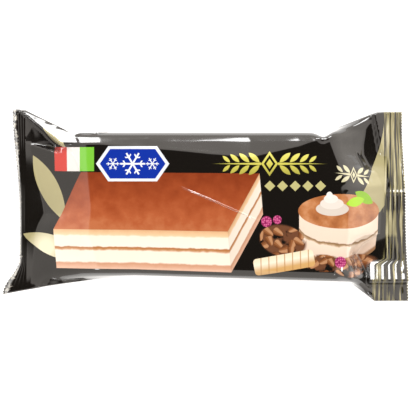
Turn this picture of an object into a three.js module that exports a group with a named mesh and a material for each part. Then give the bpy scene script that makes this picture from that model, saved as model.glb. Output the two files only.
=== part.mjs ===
// A cake bar sealed in its flow wrap: one tube of printed film round the bar, closed by a fin
// down the middle of the back and by a crimped seal across each end. The wrap is shut and
// nothing of the bar shows, so the whole pack is one solid.
//
// Millimetres, +Z up. The pack lies on its back with the printed front up and its length
// along X. The origin is under its middle, on the surface that it lies on.
//
// The film is described by two numbers, as it is before it is wrapped: a station along the
// tube, which becomes x, and a girth from 0, the middle of the front, to plus or minus
// FLAT_WIDTH, the middle of the back. Half of that, the girth SIDE, is the fold at the side.

import * as THREE from "three";

// ---- Driving dimensions ----
const FLAT_WIDTH = 81; // the tube pressed flat, which is the length of each end seal
const CAKE_WIDTH = 63;
const CAKE_HEIGHT = 21.5;
const FRONT_CROWN = 0.8; // the front film stands this much proud in the middle
const SEAL_THICKNESS = 0.6;
const CRIMP_RIDGES = 5;
const FIN_WIDTH = 12;
const FIN_THICKNESS = 0.5;
const FIN_EDGE = 0.25; // how far across the step at each edge of the fin takes
const FIN_BED = 10; // beyond the fin, the back film comes down to the surface over this
const FAR_SIDE = 0.985; // the far side stands in by this share of the bar's half width
const TAPER = 0.03; // the near side widens by this for each millimetre to the right
const TAPER_FROM = 15;

const SIDE = FLAT_WIDTH / 2;
const HALF_WIDTH = CAKE_WIDTH / 2;
const MIDDLE = CAKE_HEIGHT / 2;
// What the tube has to spare round the bar sets how round its long edges are.
const EDGE_RADIUS = (2 * (CAKE_WIDTH + CAKE_HEIGHT) - 2 * FLAT_WIDTH) / (8 - 2 * Math.PI);
const ARC = (Math.PI / 2) * EDGE_RADIUS;
const FLAT_HALF = HALF_WIDTH - EDGE_RADIUS;
const WALL = CAKE_HEIGHT - 2 * EDGE_RADIUS;

// ---- How finely the film is divided ----
const COUNT = { front: 20, arc: 3, wall: 4, back: 6, body: 10, slope: 18, apron: 4 };

const clamp = (v, low = 0, high = 1) => Math.min(high, Math.max(low, v));
const mix = (a, b, t) => a + (b - a) * t;
const smooth = (t) => clamp(t) * clamp(t) * (3 - 2 * clamp(t));
const bell = (v, centre, spread) => Math.exp(-(((v - centre) / spread) ** 2));
const radians = (degrees) => (degrees * Math.PI) / 180;

// A line through a few points of place and value, given by rising place.
function through(...points) {
  return (place) => {
    const next = points.findIndex(([at]) => at > place);
    if (next === 0) return points[0][1];
    if (next < 0) return points[points.length - 1][1];
    const [[from, a], [to, b]] = points.slice(next - 1, next + 1);
    return mix(a, b, (place - from) / (to - from));
  };
}

// ---- The two ends ----
// across runs from -1 at the near side, -Y, to 1 at the far side, +Y. Each line below gives
// the x of one feature: where the bar stops, where the film has come down to a nearly flat
// apron, and the two edges of the crimped seal. level is the height of the seal's inner edge.
// From there the seal bends up by lift, and its outermost strip by curl.
const LEFT = {
  cakeEnd: through([-1, -41], [-0.65, -43.5], [-0.35, -48], [0, -47.5], [0.6, -48.5], [1, -52]),
  apron: through(
    ...[[-1, -75.5], [-0.78, -74.6], [-0.31, -73], [-0.21, -71.6], [-0.09, -69]],
    ...[[0.02, -69.6], [0.18, -71.2], [0.48, -74.3], [0.66, -75.6], [1, -77]],
  ),
  sealInner: through([-1, -77], [1, -77.5]),
  sealOuter: (across) => -80 - 3 * smooth(across) - 7.2 * smooth((-0.6 - across) / 0.4),
  level: (across) => 10 + 0.7 * Math.sin(4.2 * across),
  lift: (across) => 0.2 * Math.cos(3 * across),
  curl: (across) => -1.6 + 0.5 * Math.sin(9 * across),
  crimp: 0.03,
  farEar: { leaves: -57.5, reaches: -77.5, y: 41.2, bow: 1 },
  nearEar: { leaves: -24, reaches: -87, y: -38.4, bow: 1.5 },
};
const RIGHT = {
  cakeEnd: through([-1, 60], [0, 60], [0.2, 59.5], [0.66, 52.5], [1, 49.5]),
  apron: through(
    ...[[-1, 70], [-0.75, 70], [-0.6, 67], [-0.5, 64.5], [-0.4, 68], [-0.3, 75], [0.2, 76]],
    ...[[0.34, 73.5], [0.42, 70], [0.54, 67.3], [0.64, 67.3], [0.83, 68.6], [0.95, 72], [1, 73]],
  ),
  sealInner: through([-1, 72], [-0.62, 72.5], [-0.56, 77.5], [0.2, 78], [1, 78]),
  sealOuter: (across) => 85.6 - 1.2 * smooth(across) + 1.6 * smooth(-across),
  level: (across) => 12.5 + 0.8 * Math.sin(5 * across + 1),
  lift: (across) => 2.2 * Math.cos(4.4 * across) - 2.5 * smooth((-0.6 - across) / 0.4),
  curl: () => 0,
  crimp: 0.4,
  farEar: { leaves: 50.5, reaches: 73.5, y: 40, bow: 1 },
  nearEar: { leaves: 61.5, reaches: 72.5, y: -41.2, bow: 1 },
};

// ---- Where the film is folded, and where it is drawn tight ----
// A fold is a ridge with a crest from one point to another, its height at both, and the width
// of its left and its right flank.
const FOLDS = [
  { name: "far ear ridge", from: [50, 29], to: [73, 39.5], heights: [1.6, 1.2], widths: [3, 3] },
  { name: "middle crease", from: [60, 6], to: [76, 9], heights: [0.5, 0.5], widths: [3, 3] },
  { name: "seal bend", from: [70.5, -32.7], to: [90, -32.7], heights: [3.4, 5.6], widths: [9, 1.6] },
  { name: "seal crease", from: [78, 5.2], to: [88, 5.2], heights: [0.5, 0.5], widths: [1.3, 1.3] },
  { name: "near ear ridge", from: [58, -29], to: [71, -39], heights: [1.5, 1.5], widths: [3, 3] },
];

// Each plane below is a point, the way it faces, with 0 for +X and 90 for +Y, and its tilt.
// Film drawn tight between two ridges is a facet: the front is lifted to the lowest plane.
const FACETS = [
  {
    name: "left far ear",
    planes: [
      [[-50, 27, 20.6], 97, 28],
      [[-62.6, 26.7, 19.9], 227, 62],
      [[-50, 27, 20.6], 20, 20],
      [[-55, 26, 20.6], 270, 45],
    ],
  },
  {
    name: "left near ledge",
    planes: [
      [[-50, -30, 13.5], 250, 5],
      [[-50, -30, 13.5], 20, 30],
      [[-66, -32, 14], 160, 40],
    ],
  },
  {
    name: "right far ear",
    planes: [
      [[77, 30, 13.1], 20, 12],
      [[73.2, 32, 13.4], 190, 60],
      [[76, 22, 12.9], 280, 30],
      [[78, 30, 12.1], 0, 60],
    ],
  },
];
// A hollow is the other way round: the front sinks to the highest plane.
const HOLLOWS = [
  {
    name: "left far ear",
    planes: [
      [[-76, 26, 10.4], 180, 5],
      [[-70, 25.6, 10.4], 81, 65],
      [[-65, 28, 10.4], 180, 65],
    ],
  },
];
// Past this line the front falls away to the far side of the bar.
const SHOULDER_LINE = through([-45, 26], [-32, 25], [0, 22], [19, 20.2], [40, 25], [50, 28.8], [90, 30]);
const SHOULDER_SLOPE = through([-62, 0.5], [-37, 0.42], [-24, 0.24], [90, 0.22]);
const SHOULDER_EASE = 2; // past the start of the bar's rounded edge, the fall levels out over this

// How far a fold raises the film at a point: a tent over its crest, with a cone past each end.
function foldHeight({ from, to, heights, widths }, x, y) {
  const [dx, dy] = [to[0] - from[0], to[1] - from[1]];
  const length = Math.hypot(dx, dy);
  const along = ((x - from[0]) * dx + (y - from[1]) * dy) / length;
  const aside = ((x - from[0]) * dy - (y - from[1]) * dx) / length;
  const past = Math.max(0, -along, along - length) / Math.min(...widths);
  const share = Math.abs(aside) / (aside > 0 ? widths[1] : widths[0]);
  return mix(...heights, clamp(along / length)) * clamp(1 - Math.hypot(share, past));
}

function shoulderFall(x, y) {
  const past = Math.max(0, y - SHOULDER_LINE(x));
  const over = Math.max(0, y - FLAT_HALF * FAR_SIDE);
  const levelled = over < SHOULDER_EASE ? over ** 2 / (2 * SHOULDER_EASE) : over - SHOULDER_EASE / 2;
  return SHOULDER_SLOPE(x) * (past - levelled);
}

function planeHeight([[px, py, pz], facing, tilt], x, y) {
  const outwards = (x - px) * Math.cos(radians(facing)) + (y - py) * Math.sin(radians(facing));
  return pz - Math.tan(radians(tilt)) * outwards;
}

// The height of the front film at a point, once it has been pressed down and drawn tight. The
// edges of facets and hollows are sharper than the mesh can show, so each height is the mean of
// those of nine points round it.
const ROUNDING = 1.6;
const OFFSETS = [-ROUNDING, 0, ROUNDING];
const AROUND = OFFSETS.flatMap((dx) => OFFSETS.map((dy) => [dx, dy]));

function drawnTight(x, y, z, inSeal) {
  const heights = AROUND.map(([dx, dy]) => {
    const planesAt = (planes) => planes.map((plane) => planeHeight(plane, x + dx, y + dy));
    const floors = inSeal ? [] : HOLLOWS.map(({ planes }) => Math.max(...planesAt(planes)));
    const facets = FACETS.map(({ planes }) => Math.min(...planesAt(planes)));
    return Math.max(Math.min(z, ...floors), ...facets);
  });
  return heights.reduce((sum, height) => sum + height, 0) / heights.length;
}

// ---- Sections across the pack ----
// Round the bar: a rounded rectangle, walked by girth from the middle of the front.
function wrappedSection(girth) {
  const side = Math.sign(girth);
  let left = Math.abs(girth);
  if (left <= FLAT_HALF) return { y: side * left, z: CAKE_HEIGHT };
  left -= FLAT_HALF;
  if (left <= ARC) return corner(side, left / EDGE_RADIUS, CAKE_HEIGHT - EDGE_RADIUS, 1);
  left -= ARC;
  if (left <= WALL) return { y: side * HALF_WIDTH, z: CAKE_HEIGHT - EDGE_RADIUS - left };
  left -= WALL;
  if (left <= ARC) return corner(side, Math.PI / 2 - left / EDGE_RADIUS, EDGE_RADIUS, -1);
  return { y: side * Math.max(0, FLAT_WIDTH - Math.abs(girth)), z: 0 };
}

function corner(side, angle, centreZ, up) {
  return {
    y: side * (FLAT_HALF + EDGE_RADIUS * Math.sin(angle)),
    z: centreZ + up * EDGE_RADIUS * Math.cos(angle),
  };
}

// In an end seal: the tube pressed flat. layer is 1 in the front film, -1 in the back film.
function flatSection(girth) {
  const size = Math.abs(girth);
  const y = Math.sign(girth) * (size <= SIDE ? size : FLAT_WIDTH - size);
  const layer = clamp((SIDE - size) / (SEAL_THICKNESS / 2), -1, 1);
  return { y, layer };
}

// How far the film has spread from the bar's side, 0, to the seal's full length, 1.
const spread = (ear, x) => clamp((x - ear.leaves) / (ear.reaches - ear.leaves)) ** ear.bow;

// The film is drawn in hard against the bar's far right corner.
const PINCH = { x: 50.5, reach: 3, depth: 1.8 };

// The y of the film at this girth and x: between its place round the bar and in the seal.
function acrossPack(girth, x, end) {
  const wrapped = wrappedSection(girth);
  const far = girth >= 0;
  const ear = far ? end.farEar : end.nearEar;
  const nearSide = 1 + (TAPER * (clamp(x, -30, 62) - TAPER_FROM)) / HALF_WIDTH;
  const atSide = clamp(Math.abs(wrapped.y) / HALF_WIDTH) ** 6;
  const pinch = far ? PINCH.depth * bell(x, PINCH.x, PINCH.reach) * atSide : 0;
  const barY = wrapped.y * (far ? FAR_SIDE : nearSide) - pinch;
  const sealY = (flatSection(girth).y * Math.abs(ear.y)) / SIDE;
  return mix(barY, sealY, spread(ear, x));
}

// The fin, which is folded towards the near side, and the shallow bed beside it. Both are
// steps in the back film.
function backRelief(girth, height) {
  const fromMiddle = Math.sign(girth) * (FLAT_WIDTH - Math.abs(girth));
  const beyond = Math.max(fromMiddle, -FIN_WIDTH - fromMiddle);
  const onFin = clamp(-beyond / FIN_EDGE);
  const bed = FIN_THICKNESS * (1 - smooth(beyond / FIN_BED));
  return height * bed * (1 - onFin) - (1 - height) * FIN_THICKNESS * onFin;
}

// ---- The stations along the tube ----
// height is how much of the bar's height the film still stands apart: 1 round the bar, 0 in
// the seal. bend is how far out the seal's bend has come, and crimp is 1, 0 or -1.
const EDGE_EASE = 0.35; // the share of the end slope that the bar's rounded edge takes up
const APRON_HEIGHT = 0.03;
const CURL_FROM = 0.7; // the share of the seal's width that stays out of the curl

function slopeFall(share) {
  const eased = share < EDGE_EASE ? share ** 2 / (2 * EDGE_EASE) : share - EDGE_EASE / 2;
  return eased / (1 - EDGE_EASE / 2);
}

// The stations of one end, from the bar outwards.
function endStations(end) {
  const stations = [];
  for (let i = 1; i <= COUNT.slope; i++) {
    const t = i / COUNT.slope;
    stations.push({
      x: (across) => mix(end.cakeEnd(across), end.apron(across), t),
      front: 1 - (1 - APRON_HEIGHT) * slopeFall(t),
      back: 1 - 0.75 * slopeFall(t),
      bend: 0,
      crimp: 0,
    });
  }
  for (let i = 1; i <= COUNT.apron; i++) {
    const t = i / COUNT.apron;
    stations.push({
      x: (across) => mix(end.apron(across), end.sealInner(across), t),
      front: APRON_HEIGHT * (1 - t),
      back: 0.25 * (1 - t),
      bend: 0,
      crimp: 0,
    });
  }
  const steps = 2 * CRIMP_RIDGES;
  for (let i = 1; i <= steps; i++) {
    const t = i / steps;
    stations.push({
      x: (across) => mix(end.sealInner(across), end.sealOuter(across), t),
      front: 0,
      back: 0,
      bend: t,
      crimp: i === steps ? 0 : i % 2 ? 1 : -1,
    });
  }
  return stations.map((station) => ({ ...station, end }));
}

function bodyStations() {
  return Array.from({ length: COUNT.body + 1 }, (_, i) => ({
    x: (across) => mix(LEFT.cakeEnd(across), RIGHT.cakeEnd(across), i / COUNT.body),
    front: 1,
    back: 1,
    bend: 0,
    crimp: 0,
    end: i <= COUNT.body / 2 ? LEFT : RIGHT,
  }));
}

// ---- The point of the film at a station and a girth ----
function filmPoint({ end, x: xAt, front, back, bend, crimp }, girth) {
  const flat = flatSection(girth);
  const across = flat.y / SIDE;
  const x = xAt(across);
  const y = acrossPack(girth, x, end);
  const inFront = flat.layer > 0;
  const height = inFront ? front : back;
  const crown = inFront ? FRONT_CROWN * Math.cos((Math.PI / 2) * across) ** 2 : 0;
  const wrapped = wrappedSection(girth).z + crown - MIDDLE;
  const curl = end.curl(across) * smooth((bend - CURL_FROM) / (1 - CURL_FROM));
  const level = mix(end.level(across), MIDDLE, height) + bend * end.lift(across) + curl;
  const seal = flat.layer * (SEAL_THICKNESS / 2) * (1 - height) + (crimp * end.crimp) / 2;
  // The folds fade out at the sides. In a seal they bend both films.
  const fade = smooth((SIDE - Math.abs(flat.y)) / 5);
  const folds = FOLDS.reduce((sum, fold) => sum + foldHeight(fold, x, y), 0);
  const z = level + wrapped * height + seal + fade * folds * (inFront ? 1 : 1 - height);
  if (!inFront) return [x, y, z + backRelief(girth, height)];
  const fall = fade * height * shoulderFall(x, y);
  if (Math.abs(girth) > SIDE - 0.1) return [x, y, z - fall];
  return [x, y, drawnTight(x, y, z - fall, height === 0)];
}

// ---- The girths that the mesh has a line of points at, from the back's middle round ----
function evenly(from, to, count) {
  return Array.from({ length: count }, (_, i) => mix(from, to, i / count));
}

function halfGirths() {
  const corner1 = FLAT_HALF;
  const wallTop = corner1 + ARC;
  const wallFoot = wallTop + WALL;
  const backEdge = wallFoot + ARC;
  const finRoot = FLAT_WIDTH - FIN_EDGE;
  return [
    ...evenly(0, corner1, COUNT.front),
    ...evenly(corner1, wallTop, COUNT.arc),
    ...evenly(wallTop, wallFoot, COUNT.wall),
    ...evenly(wallFoot, backEdge, COUNT.arc),
    ...evenly(backEdge, FLAT_WIDTH - FIN_WIDTH - FIN_EDGE, COUNT.back / 2),
    FLAT_WIDTH - FIN_WIDTH - FIN_EDGE,
    FLAT_WIDTH - FIN_WIDTH,
    FLAT_WIDTH - FIN_WIDTH + FIN_EDGE,
    ...evenly(FLAT_WIDTH - FIN_WIDTH / 2, finRoot, COUNT.back / 3),
    finRoot,
  ];
}

// ---- The closed mesh: a tube of quads, with each outer edge of film closed by a strip ----
function wrapGeometry() {
  const half = halfGirths();
  const near = half.slice(1).map((girth) => -girth);
  const girths = [...half, FLAT_WIDTH, ...near.reverse()];
  const stations = [...endStations(LEFT).reverse(), ...bodyStations(), ...endStations(RIGHT)];
  const around = girths.length;
  const positions = stations.flatMap((station) => girths.flatMap((g) => filmPoint(station, g)));
  const index = [];
  const quad = (a, b, c, d) => index.push(a, b, c, a, c, d);
  for (let s = 0; s + 1 < stations.length; s++) {
    for (let g = 0; g < around; g++) {
      const next = (g + 1) % around;
      const here = s * around;
      quad(here + g, here + around + g, here + around + next, here + next);
    }
  }
  const side = girths.findIndex((girth) => girth > SIDE - 1e-6);
  const last = stations.length - 1;
  closeEdge(index, positions, side, around, 0, false);
  closeEdge(index, positions, side, around, last * around, true);
  const geometry = new THREE.BufferGeometry();
  geometry.setAttribute("position", new THREE.Float32BufferAttribute(positions, 3));
  geometry.setIndex(index);
  return geometry;
}

// Zips the front film to the back film across the cut edge of a seal, from the far side fold
// to the near one. Both films' points go by falling y, and the one that is behind steps on.
function closeEdge(index, positions, side, around, first, facesRight) {
  const front = Array.from({ length: 2 * side + 1 }, (_, i) => (side - i + around) % around);
  const back = Array.from({ length: around - 2 * side + 1 }, (_, i) => side + i);
  const y = (point) => positions[3 * (first + point) + 1];
  const triangle = (a, b, c) =>
    index.push(first + a, first + (facesRight ? b : c), first + (facesRight ? c : b));
  let f = 1;
  let b = 1;
  triangle(front[0], front[1], back[1]);
  while (f < front.length - 2 || b < back.length - 2) {
    const stepFront = b === back.length - 2 || (f < front.length - 2 && y(front[f]) > y(back[b]));
    if (stepFront) triangle(front[f], front[++f], back[b]);
    else triangle(front[f], back[b + 1], back[b++]);
  }
  triangle(front[f], front[f + 1], back[b]);
}

// ---- The pack ----
const geometry = wrapGeometry();
geometry.computeBoundingBox();
const { min, max } = geometry.boundingBox;
geometry.translate(-(min.x + max.x) / 2, -(min.y + max.y) / 2, -min.z);
geometry.computeVertexNormals();

const blackFilm = new THREE.MeshStandardMaterial({ color: 0x1c1815, roughness: 0.25, metalness: 0 });
const wrap = new THREE.Mesh(geometry, blackFilm);
wrap.name = "flow_wrap";

const pack = new THREE.Group();
pack.add(wrap);
export default pack;
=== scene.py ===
# %% [markdown]
# # A cake bar in its flow wrap
# The object is a shut pack: one tube of printed plastic film round a bar of ice cream cake,
# with a crimped seal across each end and a fin down the back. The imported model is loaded
# first, because it fixes every size and place. All that follows only gives it its looks.

import math

import bpy
import numpy as np
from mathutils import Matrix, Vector, noise


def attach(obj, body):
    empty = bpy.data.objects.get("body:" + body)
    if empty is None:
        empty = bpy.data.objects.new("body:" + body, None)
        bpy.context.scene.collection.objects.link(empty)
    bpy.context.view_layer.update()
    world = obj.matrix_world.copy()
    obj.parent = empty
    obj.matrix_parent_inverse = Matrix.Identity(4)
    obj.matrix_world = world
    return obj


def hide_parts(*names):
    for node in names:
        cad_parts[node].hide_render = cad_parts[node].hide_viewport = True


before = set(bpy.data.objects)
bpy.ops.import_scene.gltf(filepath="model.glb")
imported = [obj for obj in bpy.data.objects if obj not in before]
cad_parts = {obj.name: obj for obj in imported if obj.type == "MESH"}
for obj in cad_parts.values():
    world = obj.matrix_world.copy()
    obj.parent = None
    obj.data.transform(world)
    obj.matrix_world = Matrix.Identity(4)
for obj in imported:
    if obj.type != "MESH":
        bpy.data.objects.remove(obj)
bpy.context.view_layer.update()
MM = 0.001

# %% [markdown]
# ## Camera
# The photo looks straight down at the pack, as product photos of flat packs do. A long lens
# from over a metre away keeps the sides from leaning out. The camera's place follows from how
# many millimetres one pixel of the photo covers.

# %% The camera over the pack
IMAGE_SIDE = 420
MM_PER_PIXEL = 0.43
PACK_MIDDLE = (205.5, 205)  # the pixel over the pack's origin
CAMERA_HEIGHT = 1200
SEAL_HEIGHT = 10  # the outline of the pack lies about this high, in mm

camera_data = bpy.data.cameras.new("camera")
camera = bpy.data.objects.new("camera", camera_data)
bpy.context.scene.collection.objects.link(camera)
bpy.context.scene.camera = camera
shown = IMAGE_SIDE * MM_PER_PIXEL
camera_data.lens = camera_data.sensor_width * (CAMERA_HEIGHT - SEAL_HEIGHT) / shown
camera.location = (
    (IMAGE_SIDE / 2 - PACK_MIDDLE[0]) * MM_PER_PIXEL * MM,
    (PACK_MIDDLE[1] - IMAGE_SIDE / 2) * MM_PER_PIXEL * MM,
    CAMERA_HEIGHT * MM,
)
print("lens in mm:", round(camera_data.lens, 1), "image covers", round(shown, 1), "mm")

# %% [markdown]
# ## The film as a tube
# A flow wrap starts as a flat web of film. A point on it has a *station* along the tube and a
# *girth* round it, 0 at the middle of the front and plus or minus 81 mm at the middle of the
# back. Working in these two numbers keeps the mesh even and gives the print its coordinates.
# The main sizes are those of the solid. The mesh is finer, and its seals are thinner.

# %% Sizes, in millimetres
FLAT_WIDTH = 81  # the tube pressed flat, which is the length of each end seal
CAKE_WIDTH = 63
CAKE_HEIGHT = 21.5
FRONT_CROWN = 0.8  # how far the front bulges in its middle
SEAL_THICKNESS = 0.35
FAR_SIDE = 0.985  # the far side lies this much of half the width from the middle
TAPER = 0.03  # how much further out the near side gets for each millimetre to the right
TAPER_FROM = 15  # the x where it is half the width from the middle

SIDE = FLAT_WIDTH / 2
HALF_WIDTH = CAKE_WIDTH / 2
MIDDLE = CAKE_HEIGHT / 2
# Only with this radius is a rounded rectangle of that width and height as long round as the tube.
EDGE_RADIUS = (2 * (CAKE_WIDTH + CAKE_HEIGHT) - 2 * FLAT_WIDTH) / (8 - 2 * math.pi)
ARC = math.pi / 2 * EDGE_RADIUS
FLAT_HALF = HALF_WIDTH - EDGE_RADIUS
WALL = CAKE_HEIGHT - 2 * EDGE_RADIUS


def clamp(v, low=0.0, high=1.0):
    return np.clip(v, low, high)


def mix(a, b, t):
    return a + (b - a) * t


def smooth(t):
    """Rises from 0 to 1 with no corner at either end."""
    t = clamp(t)
    return t * t * (3 - 2 * t)


def bell(v, centre, spread):
    return np.exp(-(((v - centre) / spread) ** 2))


print("edge radius of the wrapped bar:", round(EDGE_RADIUS, 2), "mm")

# %% [markdown]
# ## The two ends
# Beyond the bar the film slopes down from all sides to the seal, and the corners stick out as
# ears. Most entries are a value over *across*, which runs from -1 at the near side to 1 at the
# far side. Their keys mean:
#
# - cake_end: the x where the straight part over the bar stops and the slope begins
# - apron: the x where the slope has come down and the film lies almost flat
# - seal_inner, seal_outer: the x of both edges of the seal
# - level: how high the seal lies, and lift, curl: how much its cut edge is higher or rolled up
# - crimp, crumple: the height of its ribs, and of the crumpled strip along its cut edge
# - far_ear, near_ear: the x where a corner leaves the bar's side, the x where it reaches its full
#   y, and the power that bows its edge

# %% Where the features of each end lie
def through(*points):
    """One value over another, on straight lines through a few points."""
    places, values = zip(*sorted(points))
    return lambda v: np.interp(v, places, values)


LEFT = {
    "cake_end": through((-1, -41), (-0.65, -43.5), (-0.35, -48), (0, -47.5), (0.6, -48.5),
                        (1, -52)),
    "apron": through((-1, -75.5), (-0.78, -74.6), (-0.31, -73), (-0.21, -71.6), (-0.09, -69),
                     (0.02, -69.6), (0.18, -71.2), (0.48, -74.3), (0.66, -75.6), (1, -77)),
    "seal_inner": through((-1, -77), (1, -77.5)),
    "seal_outer": lambda a: -80 - 3 * smooth(a) - 7.2 * smooth((-0.6 - a) / 0.4),
    "level": lambda a: 10 + 0.7 * np.sin(4.2 * a),
    "lift": lambda a: 0.2 * np.cos(3 * a),
    "curl": lambda a: -1.6 + 0.5 * np.sin(9 * a),
    "crimp": 0.03,
    "crumple": 0.8,
    "far_ear": dict(leaves=-57.5, reaches=-77.5, y=41.2, bow=1),
    "near_ear": dict(leaves=-24, reaches=-87, y=-38.4, bow=1.5),
}
RIGHT = {
    "cake_end": through((-1, 60), (-0.5, 60), (0, 60), (0.2, 59.5), (0.66, 52.5), (1, 49.5)),
    "apron": through((-1, 70), (-0.75, 70), (-0.6, 67), (-0.5, 64.5), (-0.4, 68), (-0.3, 75),
                     (0.2, 76), (0.34, 73.5), (0.42, 70), (0.54, 67.3), (0.64, 67.3),
                     (0.83, 68.6), (0.95, 72), (1, 73)),
    "seal_inner": through((-1, 72), (-0.62, 72.5), (-0.56, 77.5), (0.2, 78), (1, 78)),
    "seal_outer": lambda a: 85.6 - 1.2 * smooth(a) + 1.6 * smooth(-a),
    "level": lambda a: 12.5 + 0.8 * np.sin(5 * a + 1),
    "lift": lambda a: 2.2 * np.cos(4.4 * a) - 2.5 * smooth((-0.6 - a) / 0.4),
    "curl": lambda a: 0 * a,
    "crimp": 0.14,
    "crumple": 0.3,
    "far_ear": dict(leaves=50.5, reaches=73.5, y=40, bow=1),
    "near_ear": dict(leaves=61.5, reaches=72.5, y=-41.2, bow=1),
}
for side_name, end in (("left", LEFT), ("right", RIGHT)):
    edges = [round(float(end["seal_outer"](a)), 1) for a in (-1, 1)]
    print(side_name, "seal's cut edge runs from x", edges[0], "at the near side to", edges[1])

# %% [markdown]
# ## Folds
# Film can't stretch, so where it is drawn together it breaks into straight ridges with crisp
# crests, which catch the light. A cloth simulation gives soft folds in places of its own choice,
# so each ridge is given one by one instead, as a tent of height over a line.

# %% The folds of the front film
FOLDS = [
    # from, to, heights at both ends, widths of the flanks to its left and its right
    ((50, 29), (73, 39.5), (1.6, 1.2), (3, 3)),
    ((60, 6), (76, 9), (0.5, 0.5), (3, 3)),
    ((70.5, -32.7), (90, -32.7), (3.4, 5.6), (9, 1.6)),
    ((78, 5.2), (88, 5.2), (0.5, 0.5), (1.3, 1.3)),
    ((58, -29), (71, -39), (1.5, 1.5), (3, 3)),
]


def fold_height(x, y, start, end, heights, widths):
    """How much one fold lifts the film at x, y."""
    dx, dy = end[0] - start[0], end[1] - start[1]
    length = math.hypot(dx, dy)
    along = ((x - start[0]) * dx + (y - start[1]) * dy) / length
    aside = ((x - start[0]) * dy - (y - start[1]) * dx) / length
    past = np.maximum(0, np.maximum(-along, along - length)) / min(widths)
    share = abs(aside) / np.where(aside > 0, widths[1], widths[0])
    return mix(*heights, clamp(along / length)) * clamp(1 - np.hypot(share, past))


print("folds:", len(FOLDS))

# %% Flat facets
# Where the film is drawn tight between two ridges it bridges the hollow under it in a flat
# facet. A bridge is a few planes, and the film is lifted to the lowest of them. Each plane has a
# point, the way it faces and its tilt, in degrees.
BRIDGES = [
    [((-50, 27, 20.6), 97, 28), ((-62.6, 26.7, 19.9), 227, 80), ((-50, 27, 20.6), 20, 20),
     ((-55, 26, 20.6), 270, 45)],
    [((-50, -30, 13.5), 250, 5), ((-50, -30, 13.5), 20, 30), ((-66, -32, 14), 160, 40)],
    [((77, 30, 13.1), 20, 12), ((73.2, 32, 13.4), 190, 60), ((76, 22, 12.9), 280, 30),
     ((78, 30, 12.1), 0, 60)],
]
# A hollow is the other way round: the film is pressed down to the highest of its planes.
HOLLOWS = [
    [((-76, 26, 10.4), 180, 5), ((-70, 25.6, 10.4), 81, 72), ((-65, 28, 10.4), 180, 65)],
]


def plane_heights(x, y, planes):
    """The height of each plane at x, y."""
    heights = []
    for (px, py, pz), facing, tilt in planes:
        down = math.tan(math.radians(tilt))
        turn = math.radians(facing)
        heights.append(pz - down * ((x - px) * math.cos(turn) + (y - py) * math.sin(turn)))
    return heights


print("bridges:", len(BRIDGES), "hollows:", len(HOLLOWS))

# %% [markdown]
# ## Fine relief
# Even tight film is never quite flat. It has slow ripples all over, sharper crinkles on the
# slopes, where it is slack, and a crumpled strip along its cut edges. A displacement shader would
# be lost in the export, so noise moves the points of the mesh itself.

# %% Ripples, crinkles and the fall of the far shoulder
RIPPLE = 0.14  # how high a ripple is, and its size across
RIPPLE_SIZE = 11
CRINKLE = 0.35
CRINKLE_SIZE = 7
CRUMPLE_SIZE = 3  # each end gives its own height


def wave(x, y, size):
    """Smooth noise from about -0.5 to 0.5, with waves of this size."""
    x, y = np.broadcast_arrays(x, y)
    found = [noise.noise((a / size, b / size, 0)) for a, b in zip(x.ravel(), y.ravel())]
    return np.array(found).reshape(x.shape)


def crinkle(x, y, size):
    """Noise with sharp valleys, as film has where it is crumpled a little."""
    return abs(wave(x, y, size))


# The front falls away before it reaches the far edge, from this y on and with this slope, both
# given over x. Past the start of the rounded edge the fall levels out.
SHOULDER_LINE = through((-45, 26), (-32, 25), (0, 22), (19, 20.2), (40, 25), (50, 28.8), (90, 30))
SHOULDER_SLOPE = through((-62, 0.5), (-37, 0.42), (-24, 0.24), (90, 0.22))
SHOULDER_EASE = 2


def shoulder_fall(x, y):
    past = y - SHOULDER_LINE(x)
    over = np.maximum(0, y - FLAT_HALF * FAR_SIDE)
    level = np.where(over < SHOULDER_EASE, over**2 / (2 * SHOULDER_EASE), over - SHOULDER_EASE / 2)
    return -SHOULDER_SLOPE(x) * (np.maximum(0, past) * smooth(past + 0.3) - level)


print("the far shoulder begins at y", SHOULDER_LINE(0), "over the middle of the bar")

# %% [markdown]
# ## Across the tube
# Round the bar the film is a rounded rectangle, and in a seal it is pressed flat. Both sections
# are walked by the same girth, so a point of the film keeps its place round the tube while the
# section changes from one to the other.

# %% The film round the bar, and pressed flat in a seal
def wrapped_section(girth):
    """A rounded rectangle walked by girth from the middle of the front: its y and z."""
    size = abs(girth)
    past_front = size - FLAT_HALF
    past_wall = past_front - ARC - WALL
    upper = clamp(past_front / ARC) * math.pi / 2
    lower = clamp(past_wall / ARC) * math.pi / 2
    y = np.minimum(size, FLAT_HALF) + EDGE_RADIUS * (np.sin(upper) + np.cos(lower) - 1)
    y = y - np.maximum(0, past_wall - ARC)
    z = CAKE_HEIGHT - EDGE_RADIUS * (1 - np.cos(upper) + np.sin(lower))
    z = z - clamp(past_front - ARC, 0, WALL)
    return np.sign(girth) * y, z


def flat_section(girth):
    """The tube pressed flat: its y, and 1 for the front layer to -1 for the back one."""
    size = abs(girth)
    y = np.sign(girth) * np.where(size <= SIDE, size, FLAT_WIDTH - size)
    layer = clamp((SIDE - size) / (SEAL_THICKNESS / 2), -1, 1)
    return y, layer


PINCH = dict(x=50.5, reach=3, depth=1.8)  # where the far side is drawn in before the right ear


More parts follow.
